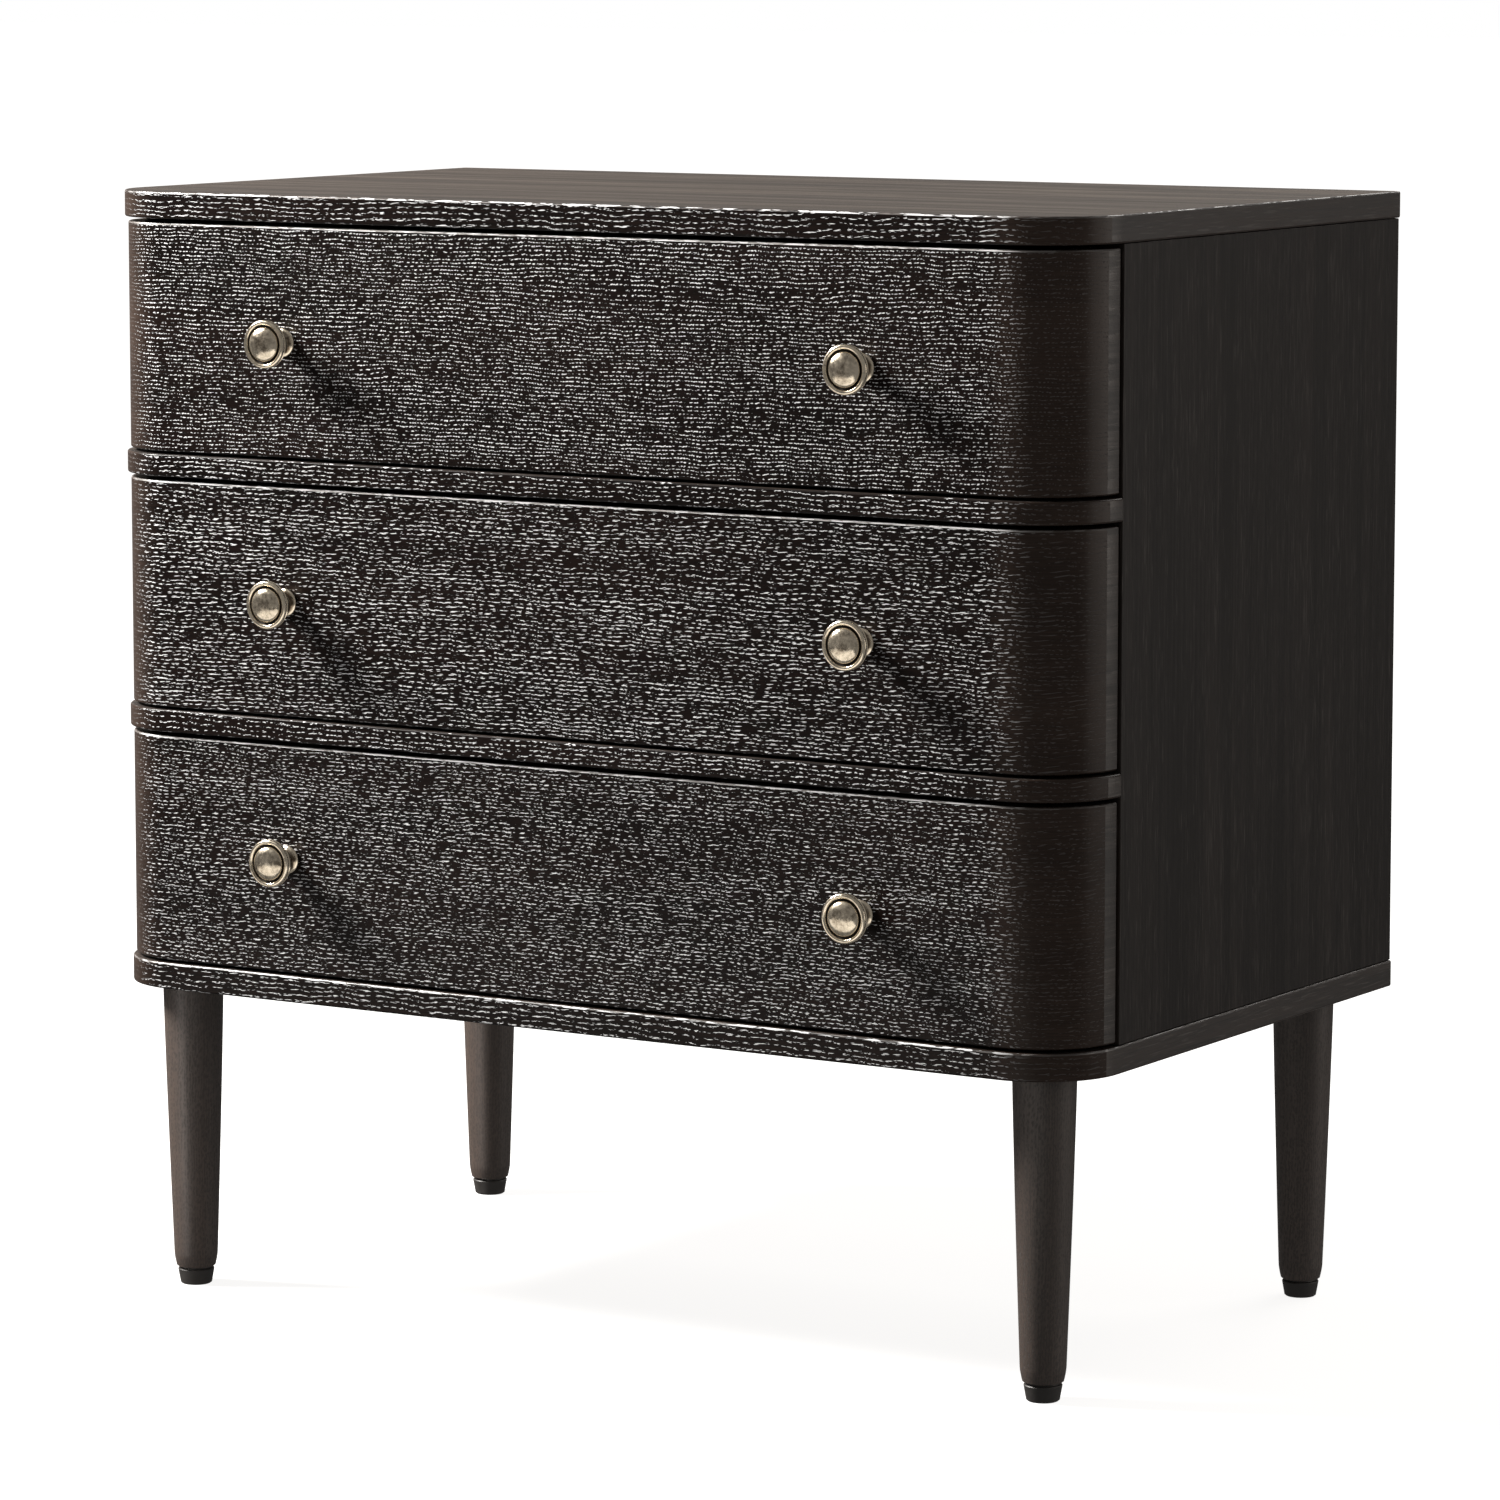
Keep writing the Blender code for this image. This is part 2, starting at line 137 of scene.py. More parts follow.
def add_world():
    """White to the camera and softly bright on the object, but dim in its gloss."""
    world = bpy.data.worlds.new("studio")
    bpy.context.scene.world = world
    world.use_nodes = True
    tree = world.node_tree
    background = tree.nodes["Background"]
    ray = tree.nodes.new("ShaderNodeLightPath")
    tint = tree.nodes.new("ShaderNodeMix")
    tint.data_type = "RGBA"
    tint.inputs[6].default_value = WORLD_TINT
    tint.inputs[7].default_value = (1.0, 1.0, 1.0, 1.0)
    tree.links.new(ray.outputs["Is Camera Ray"], tint.inputs[0])
    tree.links.new(tint.outputs[2], background.inputs["Color"])
    strengths = (("Is Glossy Ray", WORLD_IN_GLOSS), ("Is Camera Ray", WORLD_SEEN))
    strength = None
    for output, seen in strengths:
        mix = tree.nodes.new("ShaderNodeMix")
        tree.links.new(ray.outputs[output], mix.inputs[0])
        mix.inputs[2].default_value = WORLD_LIGHT
        mix.inputs[3].default_value = seen
        if strength is not None:
            tree.links.new(strength, mix.inputs[2])
        strength = mix.outputs[0]
    tree.links.new(strength, background.inputs["Strength"])


def add_light():
    """A key from the left and above, soft fills, and cards for the sheen on the dark wood."""
    add_world()
    key_place = KEY_TARGET + KEY_DIRECTION * KEY_DISTANCE
    # each one's name, place, target, size, power and colour
    lights = (
        ("key", key_place, KEY_TARGET, (KEY_SIZE, KEY_SIZE), KEY_POWER, (1.0, 0.97, 0.93)),
        ("back_fill", (0.6, 3.2, 3.0), (0, 0.2, 0.4), (2.5, 1.5), 60, (1.0, 0.97, 0.93)),
        ("side_fill", (3.3, 1.9, 1.2), (0.3, 0.0, 0.4), (1.4, 1.8), 9, (1.0, 0.92, 0.85)),
    )
    cards = (
        ("corner_card", (3.3, 1.0, 0.8), (0.3, -0.2, 0.5), (2.2, 1.8), 22, (1.0, 0.93, 0.86)),
        ("back_card", (-2.4, 3.8, 1.35), (0, 0, 0.8), (3.4, 1.7), 6, (1.0, 0.81, 0.64)),
        ("floor_card", (-0.3, -1.1, 0.01), (-0.3, -1.1, 1.0), (1.8, 1.2), 6, (1.0, 0.96, 0.90)),
    )
    for settings in lights:
        add_area_light(*settings)
    for settings in cards:
        add_area_light(*settings, only_gloss=True)
    # a narrow, low beam that reaches only the two left legs
    add_area_light("leg_fill", (-0.65, -1.5, 0.06), (-0.33, 0.0, 0.06), (0.16, 0.06), 0.08,
                   (1.0, 0.93, 0.88), spread=18)


def add_floor():
    """A pale floor that runs far past the view and throws no light on the object."""
    bm = bmesh.new()
    bmesh.ops.create_grid(bm, x_segments=1, y_segments=1, size=FLOOR_REACH)
    mesh = bpy.data.meshes.new("floor")
    bm.to_mesh(mesh)
    bm.free()
    floor = bpy.data.objects.new("floor", mesh)
    bpy.context.scene.collection.objects.link(floor)
    paper = bpy.data.materials.new("floor_paper")
    paper.use_nodes = True
    shader = paper.node_tree.nodes["Principled BSDF"]
    shader.inputs["Base Color"].default_value = FLOOR_GREY
    shader.inputs["Roughness"].default_value = 0.9
    shader.inputs["Specular IOR Level"].default_value = 0.0
    shader.inputs["Emission Color"].default_value = FLOOR_GLOW_COLOR
    nodes = paper.node_tree.nodes
    links = paper.node_tree.links
    coords = nodes.new("ShaderNodeTexCoord")
    distance = nodes.new("ShaderNodeVectorMath")
    distance.operation = "LENGTH"
    links.new(coords.outputs["Object"], distance.inputs[0])
    glow = nodes.new("ShaderNodeMapRange")
    for index, value in enumerate((GLOW_NEAR, GLOW_FAR, GLOW_LEAST, GLOW_MOST), start=1):
        glow.inputs[index].default_value = value
    links.new(distance.outputs["Value"], glow.inputs["Value"])
    links.new(glow.outputs[0], shader.inputs["Emission Strength"])
    floor.data.materials.append(paper)
    floor.visible_glossy = False
    floor.visible_diffuse = False


# ---------------------------------------------------------------- materials


class Shader:
    """One material and the nodes that feed its Principled BSDF."""

    def __init__(self, name, **inputs):
        self.material = bpy.data.materials.new(name)
        self.material.use_nodes = True
        self.tree = self.material.node_tree
        self.principled = self.tree.nodes["Principled BSDF"]
        self.set(**inputs)

    def set(self, **inputs):
        """Fills the Principled BSDF's sockets, named with _ for each space."""
        for name, value in inputs.items():
            self.feed(self.principled, name.replace("_", " "), value)

    def feed(self, node, socket, value):
        """Links a socket's output, or sets a plain value or colour."""
        target = node.inputs[socket]
        if isinstance(value, bpy.types.NodeSocket):
            self.tree.links.new(value, target)
        elif isinstance(value, tuple) and len(value) == 3 and target.type == "RGBA":
            target.default_value = (*value, 1.0)
        else:
            target.default_value = value

    def add(self, kind, *inputs, **settings):
        """A new node; inputs fill its sockets in order, and None leaves one as it is."""
        node = self.tree.nodes.new(kind)
        for name, value in settings.items():
            setattr(node, name, value)
        for index, value in enumerate(inputs):
            if value is not None:
                self.feed(node, index, value)
        return node

    def place(self, scale=(1, 1, 1), offset=(0, 0, 0)):
        """The object's own coordinates, scaled and shifted."""
        coords = self.add("ShaderNodeTexCoord").outputs["Object"]
        return self.add("ShaderNodeMapping", coords, offset, None, scale).outputs[0]

    def noise(self, vector, scale=1.0, detail=2.0, roughness=0.5, distortion=0.0):
        node = self.add("ShaderNodeTexNoise", vector)
        self.feed(node, "Scale", scale)
        self.feed(node, "Detail", detail)
        self.feed(node, "Roughness", roughness)
        self.feed(node, "Distortion", distortion)
        return node.outputs[0]

    def math(self, operation, a, b=0.0):
        return self.add("ShaderNodeMath", a, b, operation=operation).outputs[0]

    def times(self, value, factor):
        return self.math("MULTIPLY", value, factor)

    def total(self, *terms):
        """The sum of (value, weight) terms."""
        weighed = [value if weight == 1 else self.times(value, weight) for value, weight in terms]
        result = weighed[0]
        for value in weighed[1:]:
            result = self.math("ADD", result, value)
        return result

    def vector(self, operation, a, b):
        return self.add("ShaderNodeVectorMath", a, b, operation=operation)

    def fit(self, value, low, high, new_low=0.0, new_high=1.0):
        """value eased from low..high to new_low..new_high and held at both ends."""
        node = self.add("ShaderNodeMapRange", value, low, high, new_low, new_high,
                        interpolation_type="SMOOTHSTEP")
        return node.outputs[0]

    def mix(self, factor, a, b):
        """Colour a where factor is 0, and b where it is 1."""
        node = self.tree.nodes.new("ShaderNodeMix")
        node.data_type = "RGBA"
        self.feed(node, 0, factor)
        self.feed(node, 6, a)
        self.feed(node, 7, b)
        return node.outputs[2]

    def bump(self, height, strength, distance):
        node = self.add("ShaderNodeBump")
        self.feed(node, "Strength", strength)
        self.feed(node, "Distance", distance)
        self.feed(node, "Height", height)
        return node.outputs[0]


# Which way the grain runs: 1 along it, 0 across it, for each axis
ROUND_THE_FRONT = (1, 1, 0)
ALONG_X = (1, 0, 0)
ALONG_Y = (0, 1, 0)
UPRIGHT = (0, 0, 1)

# The plain wood on the rounded corners, lighter than the front's dark wood, where the painted pore
# glints stop
CORNER_DARK = (0.022, 0.0150, 0.0120)
CORNER_BROWN = (0.034, 0.0230, 0.0180)


def grain_space(shader, grain, seed):
    """A function that gives the object's coordinates, stretched along and across the grain."""
    offset = (seed * 1.7, seed * 2.3, seed * 0.9)

    def stretched(along, across, shift=0.0):
        scale = tuple(along if runs else across for runs in grain)
        return shader.place(scale, tuple(value + shift for value in offset))

    return stretched


def flat_front(shader):
    """1 on the flat middle of the front, where the pale pores carry painted glints, and near 0 on
    its rounded corners, where those glints fade.
    """
    half = CAD_BOX[1][0]
    x = shader.add("ShaderNodeSeparateXYZ", shader.place()).outputs[0]
    right = shader.fit(x, half - CORNER_RADIUS * 1.3, half - CORNER_RADIUS * 0.6, 1.0, 0.06)
    left = shader.fit(x, -half + CORNER_RADIUS * 0.38, -half + CORNER_RADIUS * 0.95, 0.04, 1.0)
    return shader.times(right, left)


def oak(name, grain, seed, pitch=0.0026, cells=2, dash=0.0029, rows=0.6, cover=0.3,
        patchy=0.25, spread=0.9, shine=(0.68, 0.68, 0.69), dark=(0.0030, 0.0019, 0.0015),
        brown=(0.0085, 0.0048, 0.0038), rim=(0.0010, 0.0008, 0.0008), roughness=0.28,
        specular=0.12, fade_painted_glints=False):
    """Open-pore oak stained near black, with rows of short pale pores along its growth rings.

    pitch is the rings' spacing, with so many cells of pores across it, and dash the pores'
    length. rows says how strictly the pores keep to the rings, spread how far they stray from
    an even grid, cover how much of the wood they take, and patchy how unevenly. shine is the
    pores' colour, partly a painted glint off the pore walls, and rim the painted shade round
    them; dark and brown are the rest of it. On the fronts the painted glints and shade fade
    out on the rounded corners, which take a plainer wood colour.
    """
    shader = Shader(name, Specular_IOR_Level=specular)
    stretched = grain_space(shader, grain, seed)

    # growth rings: even rows, bent and squeezed by slow waves
    wander = shader.total((shader.noise(stretched(3.2, 14)), 5.0),
                          (shader.noise(stretched(45, 70, 3), detail=1.0), 1.4))
    across_grain = shader.place(tuple(1 - runs for runs in grain))
    height = shader.vector("DOT_PRODUCT", across_grain, (1, 1, 1)).outputs["Value"]
    ring = shader.total((height, 1 / pitch), (wander, 1))
    row = shader.math("SINE", shader.times(ring, 2 * pi))

    # pores: one short dash in each cell, in dense and sparse bands
    even = shader.vector("ADD", stretched(1 / dash, cells / pitch), shader.times(wander, cells))
    jitter = shader.times(shader.noise(even.outputs[0], 2.2, 1.0), 0.7)
    pores = shader.add("ShaderNodeTexVoronoi")
    shader.feed(pores, "Vector", shader.vector("ADD", even.outputs[0], jitter).outputs[0])
    shader.feed(pores, "Scale", 1.0)
    shader.feed(pores, "Randomness", spread)
    patches = shader.noise(stretched(4, 55, 5), detail=3.0, roughness=0.55)
    level = shader.math("SUBTRACT", shader.times(row, 0.20 * rows), pores.outputs["Distance"])
    level = shader.total((level, 1), (shader.math("SUBTRACT", patches, 0.5), patchy))
    threshold = -0.26 - 0.3 * cover
    mask = shader.fit(level, threshold, threshold + 0.14)
    painted_pore_shade = shader.fit(level, threshold - 0.25, threshold)

    fibre = shader.noise(stretched(40, 1300), roughness=0.65)
    cloud = shader.noise(stretched(5, 22, 7))
    tone = shader.fit(shader.total((fibre, 0.6), (cloud, 0.4)), 0.36, 0.64)
    base = shader.mix(tone, dark, brown)
    pale = mask
    # the pale pores are painted partly as glints off their walls, and their rims as painted shade;
    # on the fronts both fade out on the corners, where the wood takes the corner colours
    if fade_painted_glints:
        flat = flat_front(shader)
        pale = shader.times(mask, flat)
        painted_pore_shade = shader.times(painted_pore_shade, flat)
        base = shader.mix(flat, shader.mix(tone, CORNER_DARK, CORNER_BROWN), base)
    relief = shader.math("SUBTRACT", shader.times(fibre, 0.25), mask)
    shader.set(Base_Color=shader.mix(pale, shader.mix(painted_pore_shade, base, rim), shine),
               Roughness=shader.fit(mask, 0.0, 1.0, roughness, 0.75),
               Normal=shader.bump(relief, 0.25, 0.0001))
    return shader.material


def sliced_wood(name, grain, seed, dark=(0.011, 0.0082, 0.0070),
                brown=(0.034, 0.0245, 0.0195), pale=(0.085, 0.074, 0.066), pale_share=0.5,
                roughness=0.34, specular=0.5, relief=0.0001):
    """Wood sliced along the grain: drifting bands, long straight fibres and thin pores.

    pale is the pores' colour, which is darker than the wood where the wood is light.
    """
    shader = Shader(name, Specular_IOR_Level=specular)
    stretched = grain_space(shader, grain, seed)
    drift = shader.times(shader.noise(stretched(1.1, 5, 4), detail=1.0), 3.0)

    def drifting(along, across, shift=0.0):
        return shader.vector("ADD", stretched(along, across, shift), drift).outputs[0]

    bands = shader.noise(drifting(1.6, 46), detail=4.0, roughness=0.62)
    streaks = shader.noise(drifting(5, 330, 3), detail=3.0, roughness=0.6)
    fibre = shader.noise(stretched(30, 1500), roughness=0.6)
    tone = shader.total((bands, 0.45), (streaks, 0.35), (fibre, 0.20))
    pore = shader.noise(drifting(42, 950, 6), detail=1.0)
    pore = shader.fit(shader.total((pore, 1), (bands, 0.25)), 0.74, 0.82)
    base = shader.mix(shader.fit(tone, 0.40, 0.62), dark, brown)
    height = shader.total((streaks, 1.5), (fibre, 0.4), (pore, -0.5))
    shader.set(Base_Color=shader.mix(shader.times(pore, pale_share), base, pale),
               Roughness=shader.fit(tone, 0.38, 0.64, roughness + 0.22, roughness),
               Normal=shader.bump(height, 0.6, relief))
    return shader.material


def aged_brass():
    """Antique brass: cream where use has polished it, brown in the recesses, with fine pits."""
    shader = Shader("antique_brass", Metallic=1.0)
    spots = shader.noise(shader.place(), 420, 4.0, 0.65, 0.4)
    clouds = shader.noise(shader.place(offset=(3, 1, 2)), 110, 3.0, 0.6)
    pits = shader.noise(shader.place(), 1400)
    geometry = shader.add("ShaderNodeNewGeometry")
    edge = shader.fit(geometry.outputs["Pointiness"], 0.44, 0.56)
    wear_and_highlight = shader.fit(shader.total((edge, 0.6), (clouds, 0.6), (spots, 0.35)), 0.56, 0.98)
    patina = shader.mix(spots, (0.085, 0.058, 0.035), (0.235, 0.168, 0.105))
    shader.set(Base_Color=shader.mix(wear_and_highlight, patina, (1.0, 0.88, 0.70)),
               Roughness=shader.fit(spots, 0.3, 0.7, 0.12, 0.24),
               Normal=shader.bump(shader.total((pits, 0.5), (spots, 1)), 0.15, 0.0002))
    return shader.material


def groove_shadow():
    """The recess round a knob's dome, blackened: partly the brass's dark patina, partly painted
    shade of the recess.
    """
    shader = Shader("brass_groove", Metallic=0.6)
    grime = shader.noise(shader.place(), 700, 3.0, 0.6)
    shader.set(Base_Color=shader.mix(grime, (0.010, 0.008, 0.006), (0.05, 0.036, 0.024)),
               Roughness=shader.fit(grime, 0.3, 0.7, 0.55, 0.75),
               Normal=shader.bump(grime, 0.3, 0.0003))
    return shader.material


def zinc_steel(name, dark, light):
    """Plated sheet steel, drawn along Y and slightly clouded."""
    shader = Shader(name, Metallic=1.0)
    drawn = shader.noise(shader.place((900, 12, 900)), 1.0, 3.0, 0.6)
    cloud = shader.noise(shader.place(), 60)
    shader.set(Base_Color=shader.mix(cloud, dark, light),
               Roughness=shader.fit(drawn, 0.3, 0.7, 0.28, 0.42),
               Normal=shader.bump(drawn, 0.08, 0.0002))
    return shader.material


def glide_plastic():
    """Dark moulded plastic, gritty and a little scuffed."""
    shader = Shader("glide_plastic")
    grit = shader.noise(shader.place(), 1500)
    scuff = shader.noise(shader.place(), 180, 3.0, 0.6)
    shader.set(Base_Color=shader.mix(scuff, (0.014, 0.012, 0.011), (0.03, 0.027, 0.025)),
               Roughness=shader.fit(scuff, 0.3, 0.7, 0.45, 0.6),
               Normal=shader.bump(grit, 0.15, 0.0002))
    return shader.material


def front_oak(name, seed, pitch, cells, dash, rows, cover, patchy=0.25, spread=0.9):
    """Oak whose grain runs round the front, and whose pale pores, painted partly as glints, fade
    out with their glints on the corners.
    """
    return oak(name, ROUND_THE_FRONT, seed, pitch, cells, dash, rows, cover, patchy, spread,
               fade_painted_glints=True)


def make_materials():
    """All the finishes, by the names that the pieces use."""
    light_wood = {
        "dark": (0.165, 0.110, 0.066),
        "brown": (0.265, 0.190, 0.120),
        "pale": (0.10, 0.064, 0.038),
        "roughness": 0.42,
    }
    calm_oak = {
        "dark": (0.0080, 0.0058, 0.0049),
        "brown": (0.0190, 0.0142, 0.0118),
        "pale_share": 0.35,
        "relief": 0.00005,
        "specular": 0.22,
    }
    return {
        # front_oak's name, seed, pitch, cells, dash, rows, cover, patchy and spread
        "top_front": front_oak("oak_top_front", 1, 0.0026, 3, 0.0023, 2.2, -0.58, 0.20, 0.7),
        "middle_front": front_oak("oak_middle_front", 2, 0.0028, 4, 0.0046, 1.1, 0.0, 0.30),
        "bottom_front": front_oak("oak_bottom_front", 3, 0.0026, 4, 0.0040, 1.0, 0.0, 0.26),
        "slab_edge": front_oak("oak_slab_edge", 4, 0.0036, 6, 0.0055, 1.6, -0.30),
        "rail_edge": front_oak("oak_rail_edge", 11, 0.0030, 4, 0.0036, 1.5, -0.20),
        # a painted highlight: the slabs' upper rounded edges, much lighter than their wood, stand
        # for the light that glints along them
        "wear_and_highlight": oak("oak_slab_edge_highlight", ROUND_THE_FRONT, 9, dash=0.012, pitch=0.0030, rows=0.4,
                    cover=1.0, dark=(0.06, 0.052, 0.048), brown=(0.16, 0.14, 0.13),
                    specular=0.8, fade_painted_glints=True),
        # a near-white painted highlight along the drawer fronts' upper rounded edges, standing for
        # the bright line of light there
        "painted_edge_highlight": oak("oak_drawer_edge_highlight", ROUND_THE_FRONT, 12, dash=0.014, cover=1.0,
                      dark=(0.30, 0.29, 0.28), brown=(0.62, 0.60, 0.58),
                      rim=(0.25, 0.24, 0.23), shine=(0.85, 0.85, 0.85), fade_painted_glints=True),
        "leg": oak("oak_leg", UPRIGHT, 8, shine=(0.040, 0.030, 0.025),
                   dark=(0.038, 0.0270, 0.0215), brown=(0.060, 0.0425, 0.0340),
                   rim=(0.031, 0.0220, 0.018), roughness=0.50, specular=0.6),
        "face": sliced_wood("oak_face", ALONG_X, 5, roughness=0.28, relief=0.0005),
        "dark_edge": sliced_wood("oak_dark_edge", ROUND_THE_FRONT, 10),
        "side": sliced_wood("oak_side", UPRIGHT, 6, **calm_oak),
        "back": sliced_wood("oak_back", UPRIGHT, 7, **calm_oak),
        "box_side": sliced_wood("box_wood_side", ALONG_Y, 1, **light_wood),
        "box_cross": sliced_wood("box_wood_cross", ALONG_X, 2, **light_wood),
        "brass": aged_brass(),
        "groove": groove_shadow(),
        "steel": zinc_steel("zinc_steel", (0.50, 0.51, 0.53), (0.66, 0.67, 0.68)),
        "black_steel": zinc_steel("black_steel", (0.030, 0.028, 0.027), (0.06, 0.057, 0.055)),
        "plastic": glide_plastic(),
    }


# ---------------------------------------------------------------- shapes


def arc(centre, radius, start, end, steps=ARC_STEPS):
    """Points on a circle from one angle to another, in degrees."""
    angles = [radians(start + (end - start) * i / steps) for i in range(steps + 1)]
    return [(centre[0] + radius * cos(a), centre[1] + radius * sin(a)) for a in angles]


def front_curve(low, high, radius):
    """The rounded front in plan, left to right, for a board whose box runs from low to high."""
    y = low.y + radius
    left = arc((low.x + radius, y), radius, 180, 270)
    right = arc((high.x - radius, y), radius, 270, 360)
    return left + right


def prism(outline, low, high, axis="Z"):
    """An outline drawn in XY or XZ, extruded from low to high along Z or Y."""
    bm = bmesh.new()
    if axis == "Z":
        corners = [(x, y, low) for x, y in outline]
        step = (0, 0, high - low)
    else:
        corners = [(x, low, z) for x, z in outline]
        step = (0, high - low, 0)
    base = bm.faces.new([bm.verts.new(corner) for corner in corners])
    grown = bmesh.ops.extrude_face_region(bm, geom=[base], use_keep_orig=True)
    top = [item for item in grown["geom"] if isinstance(item, bmesh.types.BMVert)]
    bmesh.ops.translate(bm, verts=top, vec=step)
    bmesh.ops.recalc_face_normals(bm, faces=bm.faces)
    return bm


def round_edges(bm, width, least_turn=radians(40)):
    """Rounds the edges that stick out and turn by more than least_turn."""
    sharp = [edge for edge in bm.edges if edge.calc_face_angle_signed() > least_turn]
    bmesh.ops.bevel(bm, geom=sharp, offset=width, segments=ROUND_STEPS, profile=0.5,
                    affect="EDGES")


def turned(profile, steps=TURNED_STEPS):
    """A profile of (radius, height) points spun round Z, closed where it meets the axis."""
    bm = bmesh.new()
    points = [bm.verts.new((radius, 0, height)) for radius, height in profile]
    edges = [bm.edges.new(pair) for pair in zip(points, points[1:])]
    bmesh.ops.spin(bm, geom=points + edges, cent=(0, 0, 0), axis=(0, 0, 1), angle=2 * pi,
                   steps=steps, use_merge=True)
    bmesh.ops.remove_doubles(bm, verts=bm.verts, dist=1e-6)
    bmesh.ops.recalc_face_normals(bm, faces=bm.faces)
    return bm


def rod(centre, radius, length, steps=20):
    """A closed cylinder along X round its centre."""
    bm = bmesh.new()
    bmesh.ops.create_cone(bm, cap_ends=True, segments=steps, radius1=radius, radius2=radius,
                          depth=length)
    turn(bm, pi / 2, "Y")
    move(bm, centre)
    return bm


def block(low, high):
    """A closed box between two corners."""
    return prism([(low[0], low[1]), (high[0], low[1]), (high[0], high[1]), (low[0], high[1])],
                 low[2], high[2])


def move(bm, step):
    bmesh.ops.translate(bm, vec=step, verts=bm.verts)


def turn(bm, angle, axis):
    bmesh.ops.rotate(bm, cent=(0, 0, 0), matrix=Matrix.Rotation(angle, 3, axis), verts=bm.verts)


def centre_of(low, high):
    return (low + high) / 2


def joined(pieces):
    """One bmesh of several, which it frees."""
    whole = bmesh.new()
    for piece in pieces:
        mesh = bpy.data.meshes.new("part")
        piece.to_mesh(mesh)
        piece.free()
        whole.from_mesh(mesh)
        bpy.data.meshes.remove(mesh)
    return whole


def cut(bm, cutters):
    """bm with the cutters' shapes taken out of it."""
    objects = []
    for name, shape in (("body", bm), ("cutters", joined(cutters))):
        mesh = bpy.data.meshes.new(name)
        shape.to_mesh(mesh)
        shape.free()
        objects.append(bpy.data.objects.new(name, mesh))
        bpy.context.scene.collection.objects.link(objects[-1])
    body, tool = objects
    bpy.context.view_layer.update()
    boolean = body.modifiers.new("cut", "BOOLEAN")
    boolean.operation = "DIFFERENCE"
    boolean.object = tool
    boolean.use_self = True
    evaluated = body.evaluated_get(bpy.context.evaluated_depsgraph_get())
    done = bmesh.new()
    done.from_mesh(evaluated.to_mesh())
    evaluated.to_mesh_clear()
    for item in objects:
        mesh = item.data
        bpy.data.objects.remove(item)
        bpy.data.meshes.remove(mesh)
    return done


def mirrored(bm):
    """A copy of bm on the other side of the plane x = 0."""
    copy = bm.copy()
    bmesh.ops.scale(copy, vec=(-1, 1, 1), verts=copy.verts)
    bmesh.ops.reverse_faces(copy, faces=copy.faces)
    return copy


def add_piece(name, bm, body, nodes, materials, smooth=35):
    """A finished piece that rides on a CAD body in place of some CAD nodes.

    bm is freed. Edges that turn by less than smooth degrees are shaded smooth.
    """
    mesh = bpy.data.meshes.new(name)
    bm.to_mesh(mesh)
    bm.free()
    mesh.shade_smooth()
    mesh.set_sharp_from_angle(angle=radians(smooth))
    for material in materials:
        mesh.materials.append(material)
    made = bpy.data.objects.new(name, mesh)
    bpy.context.scene.collection.objects.link(made)
    weighted = made.modifiers.new("weighted_normals", "WEIGHTED_NORMAL")
    weighted.keep_sharp = True
    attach(made, body)
    if nodes:
        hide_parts(*nodes)


def paint_faces(bm, index, chosen):
    """Gives the chosen faces the material of that index."""
    for face in bm.faces:
        if chosen(face):
            face.material_index = index


# A board's finishes, in their order on its mesh
FRONT, FLAT, UPPER_HIGHLIGHT, HIDDEN = range(4)


def dress_board(bm, finishes, front, upper_edge="wear_and_highlight"):
    """Sorts a board's faces by finish, and returns the finishes from FRONT to HIDDEN.

    Faces that nothing else claims are FRONT, the index that a new face has.
    """
    paint_faces(bm, HIDDEN, lambda face: face.normal.y > 0.3 or abs(face.normal.x) > 0.97)
    paint_faces(bm, FLAT, lambda face: abs(face.normal.z) > 0.95)
    # the upper rounded edges: on the slabs and drawer fronts a painted highlight, much lighter
    # than the wood
    paint_faces(bm, UPPER_HIGHLIGHT, lambda face: 0.2 < face.normal.z < 0.95 and face.normal.y < 0.1)
    return [finishes[front], finishes["face"], finishes[upper_edge], finishes["dark_edge"]]


# ---------------------------------------------------------------- case


def make_slab(name, finishes):
    """The top or bottom board, with rounded front corners."""
    low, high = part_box(name)
    outline = front_curve(low, high, CORNER_RADIUS) + [(high.x, high.y), (low.x, high.y)]
    bm = prism(outline, low.z, high.z)
    round_edges(bm, SLAB_EDGE)
    # the slab's upper rounded edges take the painted highlight finish
    coats = dress_board(bm, finishes, "slab_edge")
    add_piece(name + "_board", bm, "root", [name], coats)


def make_rail(name, finishes):
    """A thin rail between two drawers, notched round the side panels."""
    low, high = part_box(name)
    panel_low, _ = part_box("side_panel_right")
    shoulder = panel_low.y - SEAM_GAP
    tongue = panel_low.x - SEAM_GAP
    outline = front_curve(low, high, CORNER_RADIUS) + [
        (high.x, shoulder), (tongue, shoulder), (tongue, high.y),
        (-tongue, high.y), (-tongue, shoulder), (low.x, shoulder),
    ]
    bm = prism(outline, low.z, high.z)
    round_edges(bm, SLAB_EDGE)
    coats = dress_board(bm, finishes, "rail_edge", upper_edge="rail_edge")
    add_piece(name + "_board", bm, "root", [name], coats)


def make_panel(name, material, edge, body="root"):
    """A plain rectangular board with broken edges."""
    bm = block(*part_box(name))
    round_edges(bm, edge)
    add_piece(name + "_board", bm, body, [name], [material])


